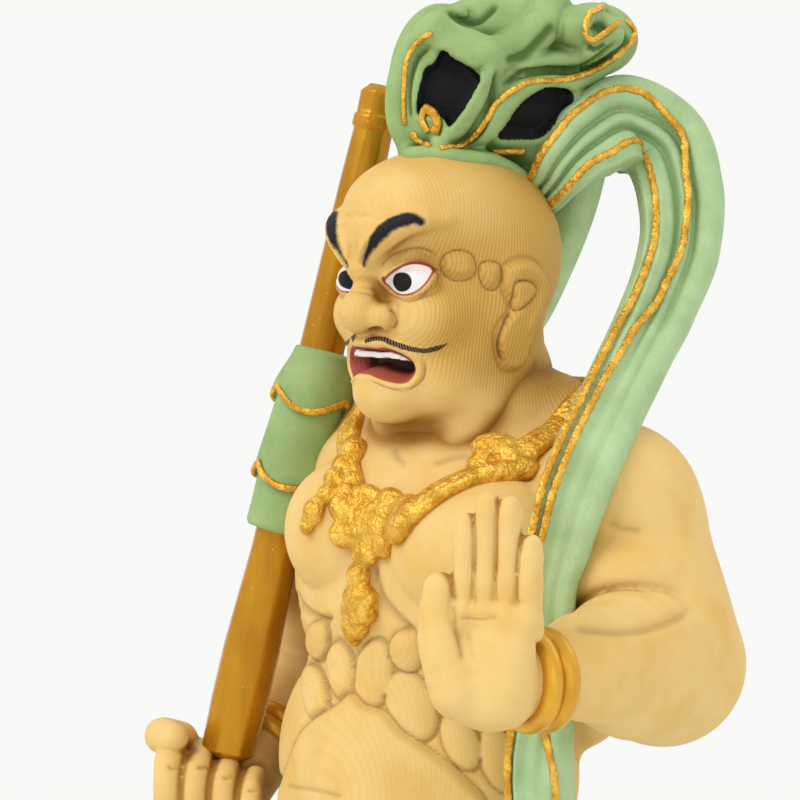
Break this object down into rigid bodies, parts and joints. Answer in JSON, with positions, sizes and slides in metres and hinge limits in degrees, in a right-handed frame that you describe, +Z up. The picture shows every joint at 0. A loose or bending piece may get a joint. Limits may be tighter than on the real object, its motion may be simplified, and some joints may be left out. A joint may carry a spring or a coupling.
{
  "type": "carved wooden guardian statue",
  "caption": "Carved and painted wooden temple guardian standing on a low rock plinth, one open hand raised, a club upright in the other fist and a long scarf looping over the head.",
  "frame": {"origin": "centre of the plinth's flat underside", "axes": "+Z up through the figure; the chest faces -Y and the figure's left side is +X"},
  "size_m": [0.1103, 0.0812, 0.2852],
  "materials": {
    "carved_figure": "carved pale wood with a warm flesh-ochre stain, a fine ridge left by the tool, and painted and gilded details",
    "scarf": "matt pale jade green paint on carved wood, darker in the grooves, with thin gold hems",
    "club": "satin ochre-gold paint with brighter gold streaks along the edges",
    "plinth": "matt dark brown stained wood carved as rock"
  },
  "bodies": {
    "root": {"figure": "carved_figure", "scarf": "scarf", "club": "club", "plinth": "plinth"}
  },
  "joints": []
}
